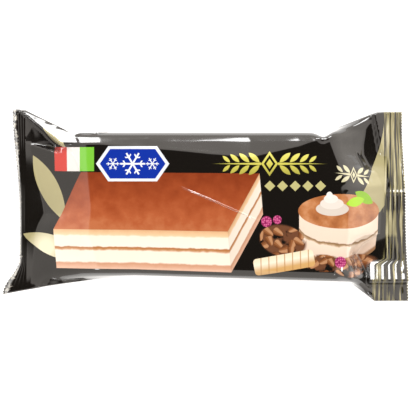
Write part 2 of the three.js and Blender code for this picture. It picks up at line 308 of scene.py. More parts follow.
def across_pack(girth, x, end):
    """The y of each point, from its girth and x."""
    wrapped, _ = wrapped_section(girth)
    flat, _ = flat_section(girth)
    far = girth >= 0
    near_side = 1 + TAPER * (clamp(x, -30, 62) - TAPER_FROM) / HALF_WIDTH
    at_side = clamp(abs(wrapped) / HALF_WIDTH) ** 6
    pinch = np.where(far, PINCH["depth"] * bell(x, PINCH["x"], PINCH["reach"]) * at_side, 0)
    bar_y = wrapped * np.where(far, FAR_SIDE, near_side) - pinch
    y = bar_y
    for ear, here in ((end["far_ear"], far), (end["near_ear"], ~far)):
        share = clamp((x - ear["leaves"]) / (ear["reaches"] - ear["leaves"])) ** ear["bow"]
        seal_y = flat * abs(ear["y"]) / SIDE
        y = np.where(here, mix(bar_y, seal_y, share), y)
    return y


FIN_WIDTH = 12
FIN_THICKNESS = 0.5
FIN_EDGE = 0.25  # over this distance the film steps down from the fin
FIN_BED = 10  # and over this one it sinks to the surface that the pack lies on


def back_relief(girth, height):
    """The back seam is a fin folded to one side, which stands proud of the film beside it."""
    from_middle = np.sign(girth) * (FLAT_WIDTH - abs(girth))
    beyond = np.maximum(from_middle, -FIN_WIDTH - from_middle)
    on_fin = clamp(-beyond / FIN_EDGE)
    bed = FIN_THICKNESS * (1 - smooth(beyond / FIN_BED))
    return height * bed * (1 - on_fin) - (1 - height) * FIN_THICKNESS * on_fin


print("rounds of film:", round(2 * (FLAT_HALF * 2 + ARC * 2 + WALL), 1), "mm round the bar and",
      2 * FLAT_WIDTH, "mm round a seal")

# %% [markdown]
# ## The rows of film along the pack
# Every row is one ring of the tube, from the cut edge on the left to the one on the right. The
# rows are close together where the film has fine relief, as in the crimped seals, and further
# apart over the bar.

# %% Rows from one cut edge to the other
GIRTHS = 256
ROWS = dict(seal=44, apron=12, slope=40, body=150)
EDGE_EASE = 0.35  # over this share of a slope the film bends down from the front
APRON_HEIGHT = 0.03  # what is left of the bar's height at the foot of a slope, in front
BACK_HEIGHT = 0.25  # and behind
CRIMP_RIBS = 5

girth = (np.arange(GIRTHS) - GIRTHS / 2) * 2 * FLAT_WIDTH / GIRTHS
across = flat_section(girth)[0] / SIDE


def slope_fall(share):
    """How far down a slope is, from 0 to 1."""
    eased = np.where(share < EDGE_EASE, share**2 / (2 * EDGE_EASE), share - EDGE_EASE / 2)
    return eased / (1 - EDGE_EASE / 2)


def rows_between(end, edge_a, edge_b, count, front, back, bend=None, crimp=None):
    """Rows from one feature of an end to the next, and how much of the bar's height each has."""
    t = (np.arange(count) + 1)[:, None] / count
    return dict(
        x=mix(end[edge_a](across), end[edge_b](across), t),
        front=front(t),
        back=back(t),
        bend=t if bend else 0 * t,  # from 0 at the seal's inner edge to 1 at the cut edge
        crimp=crimp(t) if crimp else 0 * t,
    )


def ribs(t):
    """Rounded ribs with sharp valleys between them."""
    rib = 2 * abs(np.sin(math.pi * CRIMP_RIBS * t)) - 1
    return rib * smooth(t * 6) * smooth((1 - t) * 12)


def end_rows(end):
    """The slope, the apron and the seal of one end, from the bar outwards."""
    return [
        rows_between(end, "cake_end", "apron", ROWS["slope"],
                     lambda t: 1 - (1 - APRON_HEIGHT) * slope_fall(t),
                     lambda t: 1 - (1 - BACK_HEIGHT) * slope_fall(t)),
        rows_between(end, "apron", "seal_inner", ROWS["apron"],
                     lambda t: APRON_HEIGHT * (1 - t), lambda t: BACK_HEIGHT * (1 - t)),
        rows_between(end, "seal_inner", "seal_outer", ROWS["seal"],
                     lambda t: 0 * t, lambda t: 0 * t, bend=True, crimp=ribs),
    ]


print("halfway along a slope the film is", round(float(slope_fall(0.5)), 2), "of the way down")

# %% The film of some rows
# Where three things begin on a seal, from 0 at its inner edge to 1 at its cut edge.
CURL_FROM = 0.7
CRUMPLE_FROM = 0.6
TOOTH_FROM = 0.93
CRUMPLE_EASE = 0.3  # the crumpling grows over this share of the seal
TOOTH = 0.3  # half the height of the teeth along the cut edge
FOLD_FADE = 5  # folds and ripples fade out this close to the tube's sides
SIDE_MARGIN = 0.1  # and facets stop this close to them
WALL_EASE = 2  # a facet that reaches over the bar's wall fades out over this


def film_block(rows, end):
    """Some rows of film, as an array of rows, girths and x, y, z, and the same without relief."""
    x = rows["x"]
    y = across_pack(girth, x, end)
    _, layer = flat_section(girth)
    front = layer > 0
    height = np.where(front, rows["front"], rows["back"])
    bend = rows["bend"]
    level = mix(end["level"](across), MIDDLE, height) + bend * end["lift"](across)
    level = level + end["curl"](across) * smooth((bend - CURL_FROM) / (1 - CURL_FROM))
    crown = np.where(front, FRONT_CROWN * np.cos(math.pi / 2 * across) ** 2, 0)
    wrapped = wrapped_section(girth)[1] + crown - MIDDLE
    seal = layer * SEAL_THICKNESS / 2 * (1 - height)
    z = level + wrapped * height
    taut = np.stack(np.broadcast_arrays(x, y, z), axis=-1)
    z = z + seal + rows["crimp"] * end["crimp"] / 2
    relief = np.where(abs(girth) >= SIDE, back_relief(girth, height), 0)
    fade = smooth(SIDE * (1 - abs(across)) / FOLD_FADE)
    relief = relief + np.where(front, fade * shoulder_fall(x, y) * height, 0)
    x = x + np.sign(x) * TOOTH * np.cos(math.pi * np.arange(GIRTHS)) * (bend > TOOTH_FROM)
    folds = sum(fold_height(x, y, *fold) for fold in FOLDS)
    z = z + relief + fade * folds * np.where(front, 1, 1 - height)
    inner = abs(girth) < SIDE - SIDE_MARGIN
    for planes in HOLLOWS:
        bottom = np.maximum.reduce(plane_heights(x, y, planes))
        z = np.where(inner & (height > 0), np.minimum(z, bottom), z)
    on_wall = smooth((abs(girth) - FLAT_HALF - ARC) / WALL_EASE) * smooth(height * 5 - 4)
    for planes in BRIDGES:
        lifted = np.maximum(z, np.minimum.reduce(plane_heights(x, y, planes)))
        z = np.where(inner, mix(lifted, z, on_wall), z)
    z = z + np.where(front, fade * RIPPLE * wave(x, y, RIPPLE_SIZE), 0)
    slack = np.where(front, fade * 4 * height * (1 - height) * CRINKLE, 0)
    z = z + slack * crinkle(x, y, CRINKLE_SIZE)
    crumpled = smooth((bend - CRUMPLE_FROM) / CRUMPLE_EASE)
    z = z + end["crumple"] * crumpled * crinkle(x, y, CRUMPLE_SIZE)
    return np.stack([x, y, z], axis=-1), taut


# %% All rows together
body_t = np.linspace(0, 1, ROWS["body"] + 1)[:, None]
body = dict(
    x=mix(LEFT["cake_end"](across), RIGHT["cake_end"](across), body_t),
    front=1 + 0 * body_t, back=1 + 0 * body_t, bend=0 * body_t, crimp=0 * body_t,
)
half = ROWS["body"] // 2
left_body = {key: value[: half + 1] for key, value in body.items()}
right_body = {key: value[half + 1 :] for key, value in body.items()}
left_rows = [[part[::-1] for part in film_block(rows, LEFT)] for rows in end_rows(LEFT)][::-1]
right_rows = [film_block(rows, RIGHT) for rows in end_rows(RIGHT)]
middle_rows = [film_block(left_body, LEFT), film_block(right_body, RIGHT)]
blocks = left_rows + middle_rows + right_rows
film, taut_film = [np.concatenate([block[i] for block in blocks]) for i in (0, 1)]
first_body_row = sum(len(block[0]) for block in left_rows)
last_body_row = first_body_row + ROWS["body"]
print("film grid:", film.shape, "box", film.reshape(-1, 3).min(0), film.reshape(-1, 3).max(0))

# %% [markdown]
# ## Film coordinates
# The print is laid on the flat web, so it needs each point's place there. The girth is known. The
# station is walked along the film without its folds, because film bends but doesn't stretch.

# %% Film coordinates for the print
def station_of(film):
    """How far along the flat web each point lies: x over the bar, then by length of film."""
    step = np.linalg.norm(np.diff(film, axis=0), axis=2)
    walked = np.concatenate([np.zeros((1, film.shape[1])), np.cumsum(step, axis=0)])
    station = film[:, :, 0].copy()
    seal = ROWS["seal"]
    for body_row, inner, outer in ((first_body_row, seal, 0), (last_body_row, -seal - 1, -1)):
        reach = station[body_row] + walked - walked[body_row]
        # Both edges of a seal are straight across the web, so they get one station each.
        for start, stop in ((body_row, inner), (inner, outer)):
            place = reach[stop].mean()
            share = (reach - reach[start]) / (reach[stop] - reach[start])
            low, high = sorted((start % len(film), stop % len(film)))
            station[low : high + 1] = mix(station[start], place, share)[low : high + 1]
    return station


station = station_of(taut_film)
print("stations from", station.min().round(1), "to", station.max().round(1))

# %% [markdown]
# ## The mesh
# The rows are joined into one closed skin. Each cut edge is a slit between the front and the back
# film, and a strip of narrow faces shuts it, because the real layers are welded there. Station
# and girth are kept as a UV map, scaled so that the whole web fits in its square.

# %% The mesh
WEB_LENGTH = 200  # the length of web that the UV square covers


def tube_mesh(name, points, station):
    """A closed tube with its cut edges shut, and its film coordinates as a UV map."""
    rows, around = station.shape
    mesh = bpy.data.meshes.new(name)
    row, column = np.meshgrid(np.arange(rows - 1), np.arange(around), indexing="ij")
    right = (column + 1) % around
    faces = np.stack(
        [row * around + column, (row + 1) * around + column,
         (row + 1) * around + right, row * around + right], axis=-1).reshape(-1, 4)
    fold = around // 4

    def behind(k):
        """The column of the back film that lies under this one of the front film."""
        return (2 * fold - k) % around

    caps = []
    for at, turned in ((0, False), (rows - 1, True)):
        for k in range(fold, 3 * fold):
            quad = [at * around + j for j in (k, k + 1, behind(k + 1), behind(k))]
            quad = list(dict.fromkeys(quad))
            caps.append(quad[::-1] if turned else quad)
    mesh.from_pydata(points.reshape(-1, 3) * MM, [], faces.tolist() + caps)
    layer = mesh.uv_layers.new(name="film")
    loops = np.empty(len(mesh.loops), np.int32)
    mesh.loops.foreach_get("vertex_index", loops)
    u = station.reshape(-1)[loops] / WEB_LENGTH + 0.5
    v = (loops % around) / around
    # The faces that close the tube run on from the last column, and not back to the first one.
    wraps = np.zeros(len(loops), bool)
    wraps[: 4 * len(faces)] = np.repeat((column == around - 1).reshape(-1), 4)
    v = np.where(wraps & (v < 0.5), v + 1, v)
    layer.data.foreach_set("uv", np.stack([u, v], axis=1).astype(np.float32).ravel())
    mesh.validate()
    mesh.shade_smooth()
    piece = bpy.data.objects.new(name, mesh)
    bpy.context.scene.collection.objects.link(piece)
    return piece


wrap = tube_mesh("film_wrap", film, station)
print("film_wrap has", len(wrap.data.polygons), "faces")
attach(wrap, "root")
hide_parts("flow_wrap")

# %% [markdown]
# ## The print
# A flow wrap is printed from behind in flat inks before it is wrapped, so the print is drawn in
# film coordinates and bends with the film. It could be an image, but a picture built from
# shapes stays sharp at any size and every colour in it can be changed. Each shape is a
# *distance inside*: a number in millimetres that is above zero inside the shape. Smaller of two
# is what they share, larger is both together, and turning the sign cuts one out.

# %% Colours and the function that adds a node
def linear(hex_colour):
    """An sRGB hex colour as the linear RGBA that Blender's sockets take."""
    parts = [int(hex_colour[i : i + 2], 16) / 255 for i in (1, 3, 5)]
    return [p / 12.92 if p <= 0.04045 else ((p + 0.055) / 1.055) ** 2.4 for p in parts] + [1]


def add(kind, inputs, output=0, tree=None, **settings):
    """Adds one node with its settings, fills or links its inputs, and returns an output."""
    tree = tree or film_nodes
    node = tree.nodes.new("ShaderNode" + kind)
    for name, value in settings.items():
        setattr(node, name, value)
    pairs = inputs.items() if isinstance(inputs, dict) else enumerate(inputs)
    for key, value in pairs:
        if isinstance(value, bpy.types.NodeSocket):
            tree.links.new(value, node.inputs[key])
        else:
            node.inputs[key].default_value = value
    return node.outputs[output]


film_material = bpy.data.materials.new("gloss_laminated_film")
film_material.use_nodes = True
film_nodes = film_material.node_tree


def tell(what):
    print(what, "drawn,", len(film_nodes.nodes), "nodes so far")


# %% Film coordinates in millimetres: station, girth and 1
uv = add("UVMap", [], uv_map="film")
PRINT = add(
    "Mapping",
    {"Vector": uv, "Location": (-WEB_LENGTH / 2, -FLAT_WIDTH, 1),
     "Scale": (WEB_LENGTH, 2 * FLAT_WIDTH, 1)},
)
tell("film coordinates")


# %% Shapes, each as a distance inside
def least(*distances):
    found = distances[0]
    for other in distances[1:]:
        found = add("Math", [found, other], operation="MINIMUM")
    return found


def most(*distances):
    found = distances[0]
    for other in distances[1:]:
        found = add("Math", [found, other], operation="MAXIMUM")
    return found


def outside(distance):
    return add("Math", [distance, -1.0], operation="MULTIPLY")


def plane_value(plane, on=None):
    """plane[0] times x, plus plane[1] times y, plus plane[2]."""
    return add("VectorMath", [on or PRINT, plane], output="Value", operation="DOT_PRODUCT")


def left_of(start, end, on=None):
    """Inside is left of the line from start to end."""
    dx, dy = end[0] - start[0], end[1] - start[1]
    length = math.hypot(dx, dy)
    return plane_value((-dy / length, dx / length, (dy * start[0] - dx * start[1]) / length), on)


def polygon(*corners, on=None):
    """Convex, with its corners anticlockwise."""
    return least(*[left_of(a, b, on) for a, b in zip(corners, corners[1:] + corners[:1])])


def disc(centre, radius, on=None):
    inputs = [on or PRINT, (*centre, 1)]
    away = add("VectorMath", inputs, output="Value", operation="DISTANCE")
    return add("Math", [radius, away], operation="SUBTRACT")


def crescent(centre, radius, cut_centre, cut_radius):
    """A disc with another one cut out of it."""
    return least(disc(centre, radius), outside(disc(cut_centre, cut_radius)))


def leaf(centre, half_length, half_width, angle=0, on=None):
    """What two large discs share."""
    radius = (half_length**2 + half_width**2) / (2 * half_width)
    offset = radius - half_width
    across = (-math.sin(math.radians(angle)) * offset, math.cos(math.radians(angle)) * offset)
    return least(
        disc((centre[0] + across[0], centre[1] + across[1]), radius, on),
        disc((centre[0] - across[0], centre[1] - across[1]), radius, on),
    )


def seen_from(centre, angle=0, size=(1, 1), third=0):
    """The print as seen from a point, turned by an angle and scaled. Its third value is set."""
    return add(
        "Mapping",
        {"Vector": PRINT, "Location": (*centre, 1 - third),
         "Rotation": (0, 0, math.radians(angle)), "Scale": (*size, 1)},
        vector_type="TEXTURE",
    )


def mirrored(centre, angle=0):
    """Folds the print about a point both ways, so that one shape shows four times."""
    return add("VectorMath", [seen_from(centre, angle, third=1)], operation="ABSOLUTE")


def ellipse(centre, radii, angle=0):
    there = seen_from(centre, angle, radii)
    reach = add("VectorMath", [there], output="Value", operation="LENGTH")
    small = min(radii)
    return add("Math", [reach, -small, small], operation="MULTIPLY_ADD")


def rounded_bar(centre, half, radius, angle=0):
    """A rectangle with round corners. half is half its width and half its height."""
    core = (half[0] - radius, half[1] - radius, 1)
    past = add("VectorMath", [mirrored(centre, angle), core], operation="SUBTRACT")
    past = add("VectorMath", [past, (0, 0, 0)], operation="MAXIMUM")
    reach = add("VectorMath", [past], output="Value", operation="LENGTH")
    return add("Math", [radius, reach], operation="SUBTRACT")


def lay(under, inside, ink, edge=0.06):
    """Lays an ink over what is under it. edge is how soft the ink's edge is, in mm."""
    mask = add("MapRange", {"Value": inside, "From Min": -edge, "From Max": edge})
    ink = linear(ink) if isinstance(ink, str) else ink
    return add("Mix", {0: mask, 6: under, 7: ink}, output=2, data_type="RGBA")


def shades(value, *stops):
    """A colour for each value from 0 to 1, from stops of place and hex colour."""
    out = add("ValToRGB", [value])
    ramp = out.node.color_ramp
    while len(ramp.elements) < len(stops):
        ramp.elements.new(0.5)
    for element, (place, ink) in zip(ramp.elements, stops):
        element.position = place
        element.color = linear(ink)
    return out


def face_of(corner, along, down):
    """A parallelogram: its distance inside, and how far along and down it, 0 to 1."""
    area = along[0] * down[1] - along[1] * down[0]
    x, y = corner
    share_along = plane_value(
        (down[1] / area, -down[0] / area, (down[0] * y - down[1] * x) / area))
    share_down = plane_value(
        (-along[1] / area, along[0] / area, (along[1] * x - along[0] * y) / area))
    far_corner = np.add(corner, along)
    corners = [corner, np.add(corner, down), np.add(far_corner, down), far_corner]
    return polygon(*[tuple(c) for c in corners]), share_along, share_down


def wavering(value, by, amount):
    """A value pushed up and down by noise, by about this amount in all."""
    moved = add("Math", [by, amount, value], operation="MULTIPLY_ADD")
    return add("Math", [moved, amount / 2], operation="SUBTRACT")


# %% [markdown]
# ### Ground and ribbons
# The film is black with pale gold ribbons over both ends. A ribbon is a *leaf*, which is what two
# large discs share, or a crescent, which is a disc with another one cut out of it. Discs are
# used because a distance to a point is one node, and a curve drawn by points is dozens.

# %% Ground and ribbons
BLACK = "#120f0c"
GOLD = "#aca47a"
DARK_GOLD = "#6e6844"
PALE_GOLD = "#ece6c8"
ribbons = most(
    leaf((-68.5, 7), 16, 4.8, -62),
    leaf((-66, -18.5), 16, 4.6, -20),
    leaf((-65.5, 29.3), 7, 1.8, -40),
    least(crescent((24, 38), 67, (17, 41), 62), left_of((60, -3), (100, -3))),
    crescent((92, -10), 11, (96, -20), 14),
)
# One ribbon is painted paler towards the middle of a large disc: a painted glare, where the film
# would mirror a lamp.
painted_glare = add("Math", [disc((-70, -19), 13), 0.08], operation="MULTIPLY")
gold_with_painted_glare = shades(painted_glare, (0, GOLD), (0.3, GOLD), (0.8, PALE_GOLD))
colour = lay(linear(BLACK), ribbons, gold_with_painted_glare)
tell("ribbons")

# %% [markdown]
# ### The gold end seal
# On the right seal the gold is printed in broken stripes, and the dark gaps and pale streaks among
# them are painted shade and highlights of the ribs. Stretched noise makes them, because it never
# repeats: it is eighteen times as long along the seal as across. In painted dark bands, where the
# seal's waves would turn dark in the light, the same noise leaves only thin threads of gold.

# %% The gold end seal
STREAK_WIDTH = 1.1  # mm from one stripe to the next
STREAK_LENGTH = 20
STREAKS_FROM = (79.5, 78.7)  # the first station with stripes, at the near and the far end
PAINTED_DARK_BAND = (-2.5, 5)  # painted dark bands lie between these girths, and nearer than the next one
PAINTED_DARK_NEAR = -13
streaks = add("Mapping", {"Vector": PRINT, "Scale": (1 / STREAK_WIDTH, 1 / STREAK_LENGTH, 1)})
streaks = add("TexNoise", {"Vector": streaks, "Scale": 1.0, "Detail": 2.0})
# Dark gaps and pale streaks between the gold stripes paint the shade and highlights of the ribs.
gold_streaks_and_painted_rib_shade = shades(
    streaks, (0.42, BLACK), (0.49, DARK_GOLD), (0.61, GOLD), (0.76, PALE_GOLD))
painted_dark_band_streaks = shades(streaks, (0.50, BLACK), (0.58, DARK_GOLD), (0.64, GOLD), (0.72, PALE_GOLD))
seal_print = least(
    left_of((STREAKS_FROM[1], SIDE), (STREAKS_FROM[0], -SIDE)),
    plane_value((0, 1, SIDE)),
    plane_value((0, -1, SIDE)),
)
# Painted shade: darker bands across the seal, where its waves would turn dark in the light.
painted_dark_bands = most(
    least(plane_value((0, 1, -PAINTED_DARK_BAND[0])), plane_value((0, -1, PAINTED_DARK_BAND[1]))),
    plane_value((0, -1, PAINTED_DARK_NEAR)),
)
colour = lay(colour, seal_print, gold_streaks_and_painted_rib_shade)
colour = lay(colour, least(seal_print, painted_dark_bands), painted_dark_band_streaks, edge=0.8)
tell("gold end seal")

# %% [markdown]
# ### Painted flecks on the left cut edge
# Along the left cut edge pale flecks are painted, standing in for light that the crumpled edge
# catches. Noise pushes the border of a narrow strip in and out until it breaks up.

# %% Painted flecks on the left cut edge
LEFT_CUT = float(station.min())
FLECK_STRIP = (0.5, 1.5)  # the strip begins and ends this far from the cut edge
FLECK_SIZE = 1.6
FLECK_DEPTH = 5  # how far the noise pushes its border
painted_fleck_strip = least(
    plane_value((-1, 0, LEFT_CUT + FLECK_STRIP[1])),
    plane_value((1, 0, -LEFT_CUT - FLECK_STRIP[0])),
)
fleck_noise = add("TexNoise", {"Vector": PRINT, "Scale": 1 / FLECK_SIZE, "Detail": 3.0})
fleck_noise = add("Math", [fleck_noise, FLECK_DEPTH, -FLECK_DEPTH / 2], operation="MULTIPLY_ADD")
# Pale grey flecks painted along the cut edge: a painted reflection of its crumpled film.
colour = lay(colour, add("Math", [painted_fleck_strip, fleck_noise], operation="ADD"), "#a8a49a", edge=0.3)
tell("worn cut edge")

# %% [markdown]
# ### The cake bar
# The largest picture is a plain bar of layered cake in three flat faces: a cocoa top, a long
# front and one end. The layers are one ramp of colours down each face, with a little noise so
# that they waver as spread cream does.

# %% The cake bar
TOP_CORNER = np.array((-53, 14.2))
TOP_ALONG = np.array((76, -0.6))
TOP_DOWN = np.array((-13.5, -25))
CAKE_DEPTH = np.array((1.5, -17.5))
CREAM_WAVE = 2.857  # mm from one wave of a spread layer to the next
CRUMB_CLOUD = 5  # mm from one patch of thicker cocoa to the next
LAYERS = [
    # how far down the face, and the colour there
    (0.00, "#dcb084"), (0.13, "#f0cca4"), (0.17, "#faecdc"), (0.42, "#fbf0e2"),
    (0.45, "#b0703c"), (0.50, "#c8966c"), (0.54, "#faecdc"), (0.81, "#faeede"),
    (0.85, "#cf9a7c"), (1.00, "#eabea4"),
]
LAYER_WAVER = 0.07
COCOA_CLOUDS = 0.8

waver = add("TexNoise", {"Vector": PRINT, "Scale": 1 / CREAM_WAVE, "Detail": 3.0})
crumb = add("TexNoise", {"Vector": PRINT, "Scale": 1 / CRUMB_CLOUD, "Detail": 6.0})

inside, _, down = face_of(TOP_CORNER, TOP_ALONG, TOP_DOWN)
shade = wavering(down, crumb, COCOA_CLOUDS)
cocoa = shades(shade, (0, "#83371a"), (0.45, "#9c4926"), (0.8, "#b05c36"), (1, "#bc6f47"))
colour = lay(colour, inside, cocoa)

front_corner = TOP_CORNER + TOP_DOWN
inside, _, down = face_of(front_corner, TOP_ALONG, CAKE_DEPTH)
colour = lay(colour, inside, shades(wavering(down, waver, LAYER_WAVER), *LAYERS))

inside, _, down = face_of(front_corner + TOP_ALONG, -TOP_DOWN, CAKE_DEPTH)
layers = shades(wavering(down, waver, LAYER_WAVER), *LAYERS)
shaded_end = add("HueSaturation", {"Value": 0.84, "Color": layers})
colour = lay(colour, inside, shaded_end)
tell("cake bar")

# %% [markdown]
# ### Stripes and badge
# Three stripes, and a blue badge with snowflakes, which says that the cake is frozen. A
# snowflake repeats one twelfth of itself: the angle round its middle is folded to and fro.

# %% Stripes and badge
STRIPES = {-62.5: "#c8392f", -56.5: "#e2dedb", -50.5: "#74bd3a"}
STRIPE_HALF = (3.05, 5.2)
STRIPES_AT = 19.8
for middle, ink in STRIPES.items():
    colour = lay(colour, rounded_bar((middle, STRIPES_AT), STRIPE_HALF, 0.1), ink)

# Parts of a snowflake, as shares of its radius, and how steeply a twig leaves its arm.
ARM_WIDTH = 0.07
TWIG_WIDTH = 0.06
TWIG_LENGTH = 0.26
TWIG_STEP = 0.3
TWIG_SLANT = 0.58


def snowflake(centre, radius):
    here = seen_from(centre)
    reach = add("VectorMath", [here], output="Value", operation="LENGTH")
    x, y, _ = add("SeparateXYZ", [here]).node.outputs
    angle = add("Math", [y, x], operation="ARCTAN2")
    angle = add("Math", [angle, math.pi / 6], operation="PINGPONG")
    along = add("Math", [add("Math", [angle], operation="COSINE"), reach], operation="MULTIPLY")
    aside = add("Math", [add("Math", [angle], operation="SINE"), reach], operation="MULTIPLY")
    arm = add("Math", [ARM_WIDTH * radius, aside], operation="SUBTRACT")
    slant = add("Math", [aside, -TWIG_SLANT, along], operation="MULTIPLY_ADD")
    twig = add("Math", [slant, TWIG_STEP * radius], operation="PINGPONG")
    twig = add("Math", [twig, -1.0, TWIG_WIDTH * radius], operation="MULTIPLY_ADD")
    short = add("Math", [TWIG_LENGTH * radius, aside], operation="SUBTRACT")
    rim = add("Math", [radius, reach], operation="SUBTRACT")
    return least(most(arm, least(twig, short)), rim)


def long_hexagon(centre, half, point):
    (x, y), (w, h) = centre, half
    return polygon((x - w, y), (x - w + point, y - h), (x + w - point, y - h), (x + w, y),
                   (x + w - point, y + h), (x - w + point, y + h))


BADGE = (-31, 17.8)
BADGE_RIM = dict(half=(15.6, 7.6), point=5.2)
BADGE_FIELD = dict(half=(14.0, 6.4), point=4.4)
FLAKES = {0: 5.3, -8.4: 2.8, 8.4: 2.8}  # each radius by its place along the badge
colour = lay(colour, long_hexagon(BADGE, **BADGE_RIM), "#dfe6ee")
colour = lay(colour, long_hexagon(BADGE, **BADGE_FIELD), "#0f2f9c")
for along, radius in FLAKES.items():
    colour = lay(colour, snowflake((BADGE[0] + along, BADGE[1]), radius), "#e8eef4")
tell("stripes and badge")

# %% [markdown]
# ### Gold ornaments
# Sprays of leaves about a lozenge, and a chain of small lozenges under them. A spray is the same
# on all four sides of its middle, so the print is folded there twice and a quarter is drawn.

# %% Gold ornaments
LOZENGE_RING = (0.7, 0.4)  # a ring is cut out of each large lozenge between these shares of it
STEM_WIDTH = 0.55  # half of it, where it leaves the lozenge
STEM_REACH = 1.25  # how far it runs past the middle of the last leaf
LEAF_SHAPE = 0.36  # a leaf's width over its length
LEAF_ANGLE = 42


def spray(centre, leaves, lozenge, angle=0):
    """A lozenge with leaves on both sides, drawn once and shown four times."""
    fold = mirrored(centre, angle)
    width, height = lozenge
    outer, inner = LOZENGE_RING
    shape = left_of((width, 0), (0, height), fold)
    shape = least(shape, outside(left_of((width * outer, 0), (0, height * outer), fold)))
    shape = most(shape, left_of((width * inner, 0), (0, height * inner), fold))
    reach = leaves[-1][0] * STEM_REACH
    shape = most(shape, least(left_of((reach, 0), (width, STEM_WIDTH), fold),
                              plane_value((1, 0, -width), fold)))
    for x, y, half_length in leaves:
        half_width = half_length * LEAF_SHAPE
        shape = most(shape, leaf((x, y), half_length, half_width, LEAF_ANGLE, fold))
    return shape


# Each leaf of a spray is its middle and half its length.
GARLAND = dict(
    centre=(27.3, 17.8), lozenge=(3.6, 5.4),
    leaves=[(6.6, 2.7, 3.1), (10.8, 2.6, 2.9), (14.8, 2.4, 2.6), (18.4, 2.0, 2.1)],
)
GARLAND_HEIGHT = 12  # over this its gold darkens from top to bottom
SPRIG = dict(centre=(63.5, 13), lozenge=(1.8, 3.6), angle=-6,
             leaves=[(3.6, 2.2, 2.3), (6.6, 1.9, 1.9)])
garland_top = GARLAND["centre"][1] + GARLAND_HEIGHT / 2
down = plane_value((0, -1 / GARLAND_HEIGHT, garland_top / GARLAND_HEIGHT))
bright_gold = shades(down, (0, "#e6e27a"), (0.5, "#c9c35a"), (1, "#9a9440"))
colour = lay(colour, spray(**GARLAND), bright_gold)
colour = lay(colour, spray(**SPRIG), "#cfcaa8")

CHAIN = (38.2, 8.2)
CHAIN_REACH = 13.5  # half its length
LINK_STEP = 2.7  # half of the way from one lozenge to the next
LINK_SIZE = 2.3  # half a lozenge
x, y, _ = add("SeparateXYZ", [mirrored(CHAIN)]).node.outputs
link = add("Math", [x, LINK_STEP], operation="PINGPONG")
reach = add("Math", [link, y], operation="ADD")
lozenges = add("Math", [LINK_SIZE, reach], operation="SUBTRACT")
ends = add("Math", [CHAIN_REACH, x], operation="SUBTRACT")
colour = lay(colour, least(lozenges, ends), "#b9b47c")
tell("gold ornaments")

# %% [markdown]
# ### The small dessert
# A round layered cake with cream and two leaves on it. Its side is measured down from the
# front of its rim, which is an ellipse, so the layers curve with it.

# %% The small dessert
DESSERT = dict(centre=(58, -2.5), radii=(18.5, 7.2), height=14.5)
BEHIND_RIM = 3  # the side begins this far behind the rim, under the top
SIDE_WAVER = 0.16
DUSTING = 1.6
rim_x, rim_y = DESSERT["radii"]
x, y, _ = add("SeparateXYZ", [seen_from(DESSERT["centre"], size=(rim_x, 1))]).node.outputs
bulge = add("Math", [x, x], operation="MULTIPLY")
bulge = add("Math", [add("Math", [1.0, bulge], operation="SUBTRACT")], operation="SQRT")
fall = add("Math", [bulge, -rim_y], operation="MULTIPLY")
fall = add("Math", [fall, y], operation="SUBTRACT")
down = add("Math", [fall, DESSERT["height"]], operation="DIVIDE")
side = least(
    add("Math", [bulge, 4.0, -0.8], operation="MULTIPLY_ADD"),  # not where it turns away
    add("Math", [fall, BEHIND_RIM], operation="ADD"),
    add("Math", [DESSERT["height"], fall], operation="SUBTRACT"),
)
side_colour = shades(
    wavering(down, waver, SIDE_WAVER),
    (0, "#f0dcca"), (0.4, "#ecd8c6"), (0.43, "#8a6a48"), (0.48, "#b89a78"), (0.52, "#f0dcca"),
    (0.86, "#e8d0be"), (0.92, "#a07a5c"), (1, "#94704f"),
)
colour = lay(colour, side, side_colour)
shade = add("Math", [crumb, DUSTING, 0.5 - DUSTING / 2], operation="MULTIPLY_ADD")
dusted = shades(shade, (0, "#8c4c28"), (0.5, "#b87648"), (0.8, "#cc9268"), (1, "#d8aa88"))
colour = lay(colour, ellipse(DESSERT["centre"], DESSERT["radii"]), dusted)
CREAM = [((54, -1.6), (7, 2.9), "#d8cec4"), ((53.8, 0.6), (5, 2.4), "#e4dcd4"),
         ((53.4, 2.6), (3, 1.9), "#ece6e0"), ((52.8, 4.2), (1.3, 1.5), "#f2eee8")]
for centre, radii, ink in CREAM:
    colour = lay(colour, ellipse(centre, radii), ink)
LEAVES = [((68.5, 3.2), 5.2, 2.3, -28, "#86bb00"), ((64.2, 1.4), 4.4, 2.0, 14, "#a4d610")]
for *shape, ink in LEAVES:
    colour = lay(colour, leaf(*shape), ink)
tell("small dessert")

# %% [markdown]
# ### Almonds, wafer roll and berries
# The almonds are scattered by a Voronoi texture: each cell holds one almond about its own point,
# turned by the cell's own colour. That makes a heap from a dozen nodes. The berries are small
# cells too, each shaded from a light middle to a dark edge.

# %% Almonds
HEAPS = [((33, -15), (10, 6.5), -12), ((66, -25), (11, 4.6), 6), ((50, -24), (8, 3.5), 0)]
ALMOND_SPACING = 4.348
ALMOND_LENGTH = 4.762
ALMOND_WIDTH = 2.941  # in its middle, and how much narrower it gets towards its tip
ALMOND_TIP = 0.12
heap = most(*[ellipse(*one) for one in HEAPS])
# Cocoa lies under the almonds, in patches.
dust = add("Math", [crumb, 9.0, -4.0], operation="MULTIPLY_ADD")
colour = lay(colour, least(heap, dust), "#6e4630", edge=0.4)

